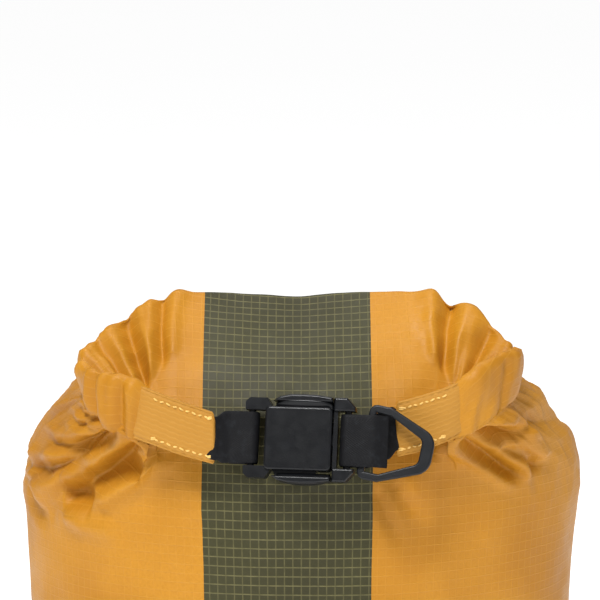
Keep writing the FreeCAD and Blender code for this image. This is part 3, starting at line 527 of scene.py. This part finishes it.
def cloth_grid(angles, side, front):
    """The bag's cloth for these columns of one side, from the base's edge up.

    The front cloth goes on over the roll; the side and back cloth ends tucked under its outer edge.
    Returns the grid and the cloth coordinates.
    """
    wall = np.stack([wall_ring(angles, height) for height in WALL_HEIGHTS])
    start = wall[-1]
    corner_way = np.array([0, -6.0, 40.0])
    if front:
        stations = front_stations(side, angles)
        places = rail(INNERS, side, stations)
        ways = unit(rail(CRESTS, side, stations) - places) * 70
        at_corner = smooth(stations, 8.0, 12.0)[:, None]
    else:
        stations = back_stations(side, angles)
        places = rail(OUTERS, side, stations)
        ways = (places - start) * np.array([1.05, 1.05, 0]) + np.array([0, 0, 16.0])
        at_corner = smooth(stations, 10.6, 12.0)[:, None]
    ways = ways + (corner_way - ways) * at_corner
    facing = smooth(np.cos(angles), 0.45, 0.85)[:, None]
    up = np.array([0, 0, 1.0]) * (62 + 38 * facing)
    t = np.linspace(0, 1, SLOPE_ROWS + 1)[1:, None, None]
    slope = ((2 * t ** 3 - 3 * t ** 2 + 1) * start + (t ** 3 - 2 * t ** 2 + t) * up
             + (3 * t ** 2 - 2 * t ** 3) * places + (t ** 3 - t ** 2) * ways)
    rest = np.concatenate([wall, slope])
    z = rest[..., 2]
    gather = smooth(z, 205, 262) * smooth(np.abs(angles), 0.66, 0.85)[None, :]
    fan = np.stack([np.sin(angles) * 5.2, np.cos(angles) * 5.2, np.zeros(len(angles))], axis=1)
    fans = np.broadcast_to(fan, rest.shape) + rest * np.array([0.012, 0.012, 0.028])
    push = gather * (2.8 * (0.4 - 2 * np.abs(wavy(fans, 1.0, 5.7)))
                     + 1.2 * (0.4 - 2 * np.abs(wavy(fans * 2.3, 1.0, 1.9))))
    push += wavy(rest * np.array([1, 1, 0.55]), 46.0, 2.2) * 1.5 * smooth(z, 4, 40)
    push += wavy(rest, 17.0, 7.3) * (0.28 + 0.6 * smooth(z, 195, 250))
    push += wavy(rest, 6.5, 4.4) * (0.08 + 0.16 * smooth(z, 195, 250))
    push += fold_push(rest)
    push *= smooth(z, -1, 6)
    last_row = len(rest) - 1
    near_top = smooth(np.arange(len(rest))[:, None], last_row - 8, last_row)
    if front:
        roll, down = roll_rows(side, stations, ROLL_ROWS)
        over = roll_push(roll, side, stations, down)
        push = push * (1 - near_top) + near_top * over[:1]
        rest = np.concatenate([rest, roll[1:]])
        push = np.concatenate([push, over[1:]])
    else:
        push = push * (1 - near_top * 0.85)
        middles = (rail(CRESTS, side, stations) + rail(INNERS, side, stations) + places) / 3
        tuck = [places + (middles - places) * share for share in (0.2, 0.45, 0.7)]
        rest = np.concatenate([rest, tuck])
        push = np.concatenate([push, np.zeros((len(tuck), len(angles)))])
    normals = grid_normals(rest)
    outward = np.stack([np.sin(angles), -np.cos(angles), 0 * angles], axis=1)
    flip = np.sign(np.sum(normals[10] * outward, axis=1))
    grid = rest + normals * (push * flip[None, :])[:, :, None]
    u = lengths_along(rest, 1)[len(WALL_HEIGHTS) - 3]
    return grid, u, lengths_along(rest, 0)


def drawn_to(grid, edge, at_end=False, reach=14):
    """The grid with its first (or last) column moved onto an edge, easing off over some columns."""
    rows = min(len(edge), len(grid))
    grid = grid[:, ::-1].copy() if at_end else grid.copy()
    gap = edge[:rows] - grid[:rows, 0]
    share = 1 - smooth(np.arange(grid.shape[1]), 0, reach)
    grid[:rows] += gap[:, None, :] * share[None, :, None]
    return grid[:, ::-1] if at_end else grid


def build_bag():
    """The olive stripe, and the orange cloth that is the rest of the bag and of its roll."""
    seams = {side: angle_of(SEAM_X[side]) for side in (-1, 1)}
    corners = {side: angle_of(CORNER_X[side]) for side in (-1, 1)}
    stripe_parts, main_parts, tape_paths = [], [], {}
    middle, back = None, None
    for side in (-1, 1):
        spans = ((0, seams[side], 36, True), (seams[side], corners[side], 150, True),
                 (corners[side], math.pi, 260, False))
        parts = [cloth_grid(side * np.linspace(first, last, columns), side, front)
                 for first, last, columns, front in spans]
        (inner, u_in, v_in), (outer, u_out, v_out), (rear, u_rear, v_rear) = parts
        if middle is not None:
            inner = drawn_to(inner, middle)
            rear = drawn_to(rear, back, at_end=True)
        middle, back = inner[:, 0], rear[:, -1]
        outer = drawn_to(outer, inner[:, -1])
        rear = drawn_to(rear, outer[:SHARED_ROWS, -1])
        u_out = u_out + u_in[-1]
        u_rear = u_rear + u_out[-1]
        tape_paths[side] = inner[:, -1]
        for grid, u, v, into in ((inner, u_in, v_in, stripe_parts), (outer, u_out, v_out, main_parts),
                                 (rear, u_rear, v_rear, main_parts)):
            if side < 0:
                grid, u, v = grid[:, ::-1], -u[::-1], v[:, ::-1]
            into.append((grid, np.stack([np.broadcast_to(u, v.shape), v], axis=2)))
    stripe = joined_mesh("bag_cloth_stripe", stripe_parts, OLIVE)
    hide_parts("stripe_panel", "roll_stripe")
    main = joined_mesh("bag_cloth_main", main_parts, ORANGE)
    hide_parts("main_panel", "roll_left", "roll_right")
    for side, name in ((-1, "left"), (1, "right")):
        build_tape(name, tape_paths[side])


def build_tape(name, path):
    """A seam tape inside the bag, along the seam's own line."""
    line = path[14:130]                 # from above the base's seam to below the roll
    inward = np.array([0, 1.0, -0.15])
    across = np.array([1.0, 0, 0])
    columns = [line + across * x + inward * (2.8 + 0.02 * x * x) for x in (-6, -3, 0, 3, 6)]
    grid = np.stack(columns, axis=1)
    piece = grid_mesh(f"tape_{name}", grid, lengths_uv(grid), TAPE)
    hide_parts(f"seam_tape_{name}")


def build_stiffener():
    """The springy strip inside the rolled mouth."""
    parts = []
    for side in (-1, 1):
        stations = np.linspace(0, 10.8, 90)
        inner, crest, outer = (rail(kind, side, stations) for kind in (INNERS, CRESTS, OUTERS))
        low = (inner + outer) / 2
        rise = unit(crest - low)
        grid = np.stack([low + rise * height for height in (1.0, 2.5, 4.0, 5.5)])
        if side < 0:
            grid = grid[:, ::-1]
        parts.append((grid, lengths_uv(grid)))
    piece = joined_mesh("mouth_stiffener", parts, STIFFENER)
    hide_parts("hem_stiffener")


def build_base():
    """The oval base, with a shallow pucker near its seam."""
    rings, columns = 14, 200
    shares = np.linspace(0.02, 1, rings)
    angles = np.linspace(0, 2 * math.pi, columns)
    edge = wall_ring(angles, 0.0)
    grid = edge[None, :, :] * np.stack([shares, shares, np.ones(rings)], axis=1)[:, None, :]
    grid[..., 2] = 0.25 + 0.5 * smooth(shares, 0.85, 1.0)[:, None] * (
        1 + np.sin(angles * 34)[None, :]) * 0.4
    base = grid_mesh("bag_base", grid, grid[..., :2].copy(), ORANGE)
    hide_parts("base_panel")


# ------------------------------------------------------------------ tabs, stitches, webbing

BUCKLE_ORIGIN = np.array([0.0, -81.0, 256.5])
BUCKLE_X = np.array([0.99027, -0.13917, 0.0])
BUCKLE_Y = np.array([0.13236, 0.9418, -0.30902])
BUCKLE_Z = np.array([0.04301, 0.30601, 0.95106])


TAB_HALF = 1.35                     # half a tab's thickness
STITCH_ROWS = (0.13, 0.87)          # up a tab, from its lower edge
STITCH_RADIUS = 0.36
STRAP_THICKNESS = 1.4
STRAP_HALF = 9.5                    # half the webbing's width
BAR_REACH = TAB_HALF + 0.1 + STRAP_THICKNESS / 2    # from a bar's middle to the strap's middle


def buckle_point(x, y, z):
    """A point in the sack's frame from the buckle's own: along it, through it and up it."""
    return BUCKLE_ORIGIN + BUCKLE_X * x + BUCKLE_Y * y + BUCKLE_Z * z


# The tabs' upper and lower edges, from inside the roll to the folded end.
TAB_TOP = {-1: [(-62, -77.0, 277.6), (-55.4, -79.6, 275.0), (-44, -81.2, 270.8), (-32.4, -81.2, 266.8)],
           1: [(61, -75.6, 279.8), (54.8, -78.3, 276.2), (45, -77.9, 272.6), (35.4, -76.8, 269.6)]}
TAB_LOW = {-1: [(-62, -77.0, 256.8), (-54.5, -80.4, 254.6), (-44, -81.8, 251.0), (-32.2, -81.8, 247.6)],
           1: [(59, -76.0, 257.6), (51.5, -78.5, 254.6), (44, -78.1, 251.6), (35.6, -77.0, 249.2)]}


def tab_frame(side, shares):
    """A tab's upper and lower edges at these shares, and the directions out of its face."""
    top, low = curve(TAB_TOP[side], shares), curve(TAB_LOW[side], shares)
    along = unit(np.gradient(top + low, axis=0)) * side * -1
    up = unit(top - low)
    outward = unit(np.cross(up, along))
    outward *= np.sign(-outward[:, 1:2])
    return top, low, outward


def build_tab(side, name):
    """A hem tab: two layers folded round the webbing, with rounded edges and puckered seams."""
    columns, rows = 70, 44
    shares = np.linspace(0, 1, columns)
    top, low, outward = tab_frame(side, shares)
    loop = []
    for turn in turns(rows):
        high = softened(math.cos(turn), 0.30) * 0.5 + 0.5
        deep = softened(math.sin(turn), 0.42) * TAB_HALF
        loop.append(low + (top - low) * high + outward * deep)
    grid = np.array(loop)
    rise = np.array([0.5 + 0.5 * math.cos(turn) for turn in turns(rows)])
    seam = sum(np.exp(-((rise - row) / 0.045) ** 2) for row in STITCH_ROWS)
    front = np.array([math.sin(turn) > 0.1 for turn in turns(rows)])
    pucker = 0.5 + 0.5 * np.sin(shares * 2 * math.pi * 9.5)
    push = -(seam * front)[:, None] * (0.35 + 0.28 * pucker)[None, :]
    push += wavy(grid, 7.0, 12.0 + side) * 0.32
    grid = grid + (outward[None] * push[:, :, None]) * front[:, None, None]
    # close the folded end
    centre = grid[:, -1:].mean(axis=0, keepdims=True)
    for shrink, out in ((0.86, 0.5), (0.4, 0.8), (0.0, 0.85)):
        ring = centre + (grid[:, -1:] - centre) * np.array([shrink, shrink, 0.5 + shrink / 2])
        ring = ring - np.array([side * out, 0, 0])
        grid = np.concatenate([grid, ring], axis=1)
    return grid_mesh(name, grid, lengths_uv(grid), HEM)


def stitch_mesh(starts, ends, radius, ups):
    """Slim rounded stitches, one closed form each."""
    vertices, faces = [], []
    sides, rings = 8, ((0.0, 0.25), (0.12, 0.8), (0.5, 1.0), (0.88, 0.8), (1.0, 0.25))
    for a, b, out in zip(starts, ends, ups):
        way = unit(b - a)
        side = unit(np.cross(way, out))
        first = len(vertices)
        for share, size in rings:
            lift = math.sin(math.pi * share) * radius * 0.9
            centre = a + (b - a) * share + out * lift
            for k in range(sides):
                turn = 2 * math.pi * k / sides
                vertices.append((centre + (side * math.cos(turn) + out * math.sin(turn))
                                 * radius * size) * MM)
        for r in range(len(rings) - 1):
            for k in range(sides):
                n = (k + 1) % sides
                faces.append((first + r * sides + k, first + r * sides + n,
                              first + (r + 1) * sides + n, first + (r + 1) * sides + k))
        faces.append(tuple(first + k for k in reversed(range(sides))))
        last = first + (len(rings) - 1) * sides
        faces.append(tuple(last + k for k in range(sides)))
    mesh = bpy.data.meshes.new("stitches")
    mesh.from_pydata([tuple(v) for v in vertices], [], faces)
    return mesh


def build_stitches(side, name, node):
    """Two rows of lockstitch along a tab, with short back-tacks at three of their ends."""
    starts, ends, ups = [], [], []
    begin, finish, count = (0.30, 0.965, 9) if side < 0 else (0.34, 0.955, 8)
    steps = 200
    top, low, outward = tab_frame(side, np.linspace(0, 1, steps + 1))
    shares = np.linspace(begin, finish, count + 1)
    low_row, high_row = STITCH_ROWS
    for row in STITCH_ROWS:
        for i in range(count):
            gap = (shares[i + 1] - shares[i]) * 0.16
            pair = np.array([shares[i] + gap, shares[i + 1] - gap])
            picks = [int(round(share * steps)) for share in pair]
            skew = 0.012 * (1 if i % 2 else -1)
            line = [low[k] + (top[k] - low[k]) * (row + skew * (j * 2 - 1)) + outward[k] * 1.22
                    for j, k in enumerate(picks)]
            starts.append(line[0])
            ends.append(line[1])
            ups.append(outward[picks[0]])
    for row, end_share in ((high_row, finish), (low_row, finish), (low_row, begin)):
        k = int(round(end_share * steps))
        for shift in (0.0, 0.028):
            centre = low[k] + (top[k] - low[k]) * (row - shift + 0.014) + outward[k] * 1.2
            starts.append(centre - np.array([1.0, 0, 0]))
            ends.append(centre + np.array([1.0, 0, 0.2]))
            ups.append(outward[k])
    mesh = stitch_mesh(starts, ends, STITCH_RADIUS, ups)
    piece = finish_piece(name, mesh, THREAD, "sack")
    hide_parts(node)


def ribbon(name, centres, ups, half_widths, body="sack"):
    """A closed flat strap along centre points: ups are the directions across its width."""
    ups = unit(ups)
    ways = unit(np.gradient(centres, axis=0))
    outs = unit(np.cross(ways, ups))
    loop = []
    for turn in turns(40):
        high = softened(math.cos(turn), 0.16)
        deep = softened(math.sin(turn), 0.55)
        loop.append(centres + ups * (high * half_widths)[:, None]
                    + outs * deep * (STRAP_THICKNESS / 2))
    grid = np.array(loop)
    ends = {}
    for edge, columns in (("first", grid[:, :1]), ("last", grid[:, -1:])):
        centre = columns.mean(axis=0, keepdims=True)
        ends[edge] = [centre + (columns - centre) * shrink for shrink in (0.0, 0.9)]
    grid = np.concatenate([*ends["first"], grid, *reversed(ends["last"])], axis=1)
    return grid_mesh(name, grid, lengths_uv(grid), WEBBING, body)


def strap_path(side, bar_x, back_x, front_first):
    """Centre line from inside the tab to the bar, round it, and back along the other face."""
    depth = -BAR_REACH if front_first else BAR_REACH
    top, low, _ = tab_frame(side, np.linspace(0, 1, 11))
    inside = [(top[k] + low[k]) / 2 for k in (4, 7, 10)]
    lead = buckle_point(bar_x + side * 7.5, depth, 0)
    points = inside + [inside[-1] + (lead - inside[-1]) * 0.35, lead,
                       buckle_point(bar_x + side * 3.0, depth, 0)]
    points += [buckle_point(bar_x - side * BAR_REACH * math.sin(turn), depth * math.cos(turn), 0)
               for turn in np.linspace(0, math.pi, 9)]
    points += [buckle_point(x, -depth, 0) for x in np.linspace(bar_x + side * 3.0, back_x, 4)]
    return points


def build_lobe(name, up, span, base, peak, body):
    """The rounded finger lobe over a spring prong: a lens in front view, full and soft-edged."""
    columns, rows = 48, 32
    shares = np.linspace(0, 1, columns)
    swell = np.sin(math.pi * shares) ** 0.5
    x = span[0] + (span[1] - span[0]) * (0.5 - 0.5 * np.cos(math.pi * shares))
    half_depth, lip_height = 3.6, 0.5
    loop = []
    for turn in turns(rows):
        high = base + (peak - base) * swell * (0.5 + 0.5 * math.cos(turn))
        deep = half_depth * swell * softened(math.sin(turn), 0.7)
        lip = lip_height * math.exp(-((math.cos(turn) - 0.1) / 0.16) ** 2) * swell
        deep = deep + lip * math.copysign(1.0, math.sin(turn))
        loop.append(np.array([buckle_point(x[k], deep[k], up * high[k]) for k in range(columns)]))
    grid = np.array(loop)
    grid_mesh(name, grid, lengths_uv(grid), BUCKLE, body)


def strap_ups(side, share, begin, end):
    """Directions across a strap: its tab's own at first, then the buckle's."""
    tab_up = unit(np.array(TAB_TOP[side][-1]) - np.array(TAB_LOW[side][-1]))
    return tab_up + (BUCKLE_Z - tab_up) * smooth(share, begin, end)[:, None]


def left_strap():
    """Passes in front of the socket's bar and ends behind it."""
    share = np.linspace(0, 1, 120)
    centres = curve(strap_path(-1, -18.4, -26.5, True), share)
    tab_end = TAB_TOP[-1][-1][0]
    inset = 1.5                         # how much narrower it is inside the tab, at each edge
    halves = STRAP_HALF - inset + inset * smooth(centres[:, 0], tab_end + 1.4, tab_end + 4.2)
    return ribbon("strap_cloth_left", centres, strap_ups(-1, share, 0.25, 0.5), halves)


def right_strap():
    """Comes from its tab, passes behind the plug's bar and returns in front."""
    share = np.linspace(0, 1, 170)
    tail = [buckle_point(26.5, -2.0, 0), buckle_point(29.5, -0.6, 0), buckle_point(31.5, 0.35, 0)]
    centres = curve(strap_path(1, 17.0, 22.5, False) + tail, share)
    tab_end = TAB_TOP[1][-1][0]
    before_bar = smooth(0.4 - share, 0, 0.01)
    inset = 2.0
    inside_tab = smooth(centres[:, 0], tab_end - 3.2, tab_end - 0.3) * before_bar
    halves = STRAP_HALF - inset * inside_tab
    return ribbon("strap_cloth_right", centres, strap_ups(1, share, 0.20, 0.38), halves, None)


def build_straps():
    straps = {"left": left_strap(), "right": right_strap()}
    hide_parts("strap_left")
    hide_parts("strap_right")
    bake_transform(straps["right"])


# ------------------------------------------------------------------ carried-over CAD pieces

def dress(node, material, bevel=None):
    """A CAD node keeps its shape and gets its finish, with a small bevel to catch the light."""
    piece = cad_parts[node]
    piece.data.materials.clear()
    piece.data.materials.append(material)
    if bevel:
        modifier = piece.modifiers.new("edge_bevel", "BEVEL")
        modifier.width = bevel * MM
        modifier.segments = 2
        modifier.limit_method = "ANGLE"
        modifier.angle_limit = math.radians(40)


def dress_frame():
    """The buckle, the ring and the base's tape keep their CAD shapes."""
    for node in ("buckle_socket", "buckle_plug", "prong_upper", "prong_lower"):
        dress(node, BUCKLE, 0.25)
    dress("d_ring", RING, 0.2)
    dress("base_seam_tape", TAPE)


# ------------------------------------------------------------------ stage, light and camera

def flat_floor():
    """A pale floor that also glows a little, so that it stays white behind the sack."""
    mesh = bpy.data.meshes.new("floor")
    reach = 9.0
    mesh.from_pydata([(-reach, -reach, 0), (reach, -reach, 0), (reach, reach, 0),
                      (-reach, reach, 0)], [], [(0, 1, 2, 3)])
    floor = bpy.data.objects.new("floor", mesh)
    bpy.context.scene.collection.objects.link(floor)
    n = Nodes("floor_pale", 0.9)
    n.set(n.shader, "Base Color", n.mix(n.noise(1.2), rgb(0.93, 0.93, 0.93),
                                        rgb(0.90, 0.90, 0.90)))
    n.set(n.shader, "Specular IOR Level", 0.0)
    n.set(n.shader, "Emission Color", (1, 1, 1, 1))
    n.set(n.shader, "Emission Strength", 0.66)
    mesh.materials.append(n.material)


def area_light(name, place, target, size, power, colour=(1, 1, 1)):
    data = bpy.data.lights.new(name, "AREA")
    data.shape = "RECTANGLE"
    data.size, data.size_y = size
    data.energy = power
    data.color = colour
    lamp = bpy.data.objects.new(name, data)
    lamp.location = place
    way = Vector(target) - Vector(place)
    lamp.rotation_mode = "QUATERNION"
    lamp.rotation_quaternion = way.to_track_quat("-Z", "Y")
    bpy.context.scene.collection.objects.link(lamp)


def build_lights():
    world = bpy.data.worlds.new("studio")
    world.use_nodes = True
    world.node_tree.nodes["Background"].inputs[0].default_value = (1, 1, 1, 1)
    world.node_tree.nodes["Background"].inputs[1].default_value = 0.34
    bpy.context.scene.world = world
    bpy.context.scene.view_settings.view_transform = "Standard"
    middle = (0, 0, 0.24)
    area_light("key", (-0.25, -0.80, 1.30), middle, (0.35, 0.35), 17)
    area_light("fill", (1.1, -0.9, 0.5), middle, (0.9, 0.9), 1.0)
    area_light("top", (0.0, 0.3, 1.4), middle, (0.8, 0.5), 5)


def build_camera():
    elevation = math.radians(10)
    distance = 1.150
    target = Vector((-0.0005, -0.020, 0.2973))
    back = Vector((0, -math.cos(elevation), math.sin(elevation)))
    data = bpy.data.cameras.new("camera")
    data.sensor_width = 36
    data.lens = 180.8
    data.clip_start = 0.05
    data.clip_end = 60
    camera = bpy.data.objects.new("camera", data)
    camera.location = target + back * distance
    camera.rotation_mode = "QUATERNION"
    camera.rotation_quaternion = (-back).to_track_quat("-Z", "Y")
    bpy.context.scene.collection.objects.link(camera)
    bpy.context.scene.camera = camera


build_camera()
build_lights()
flat_floor()
dress_frame()
build_bag()
build_base()
build_stiffener()
tabs = [build_tab(-1, "hem_tab_left"), build_tab(1, "hem_tab_right")]
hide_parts("mouth_hem")
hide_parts("mouth_hem")
build_stitches(-1, "stitching_left", "tab_stitching_left")
build_stitches(1, "stitching_right", "tab_stitching_right")
build_straps()
build_lobe("lobe_upper", 1, (-9.6, 11.8), 10.6, 16.2, "upper_prong")
build_lobe("lobe_lower", -1, (-8.6, 11.2), 12.4, 16.8, "lower_prong")
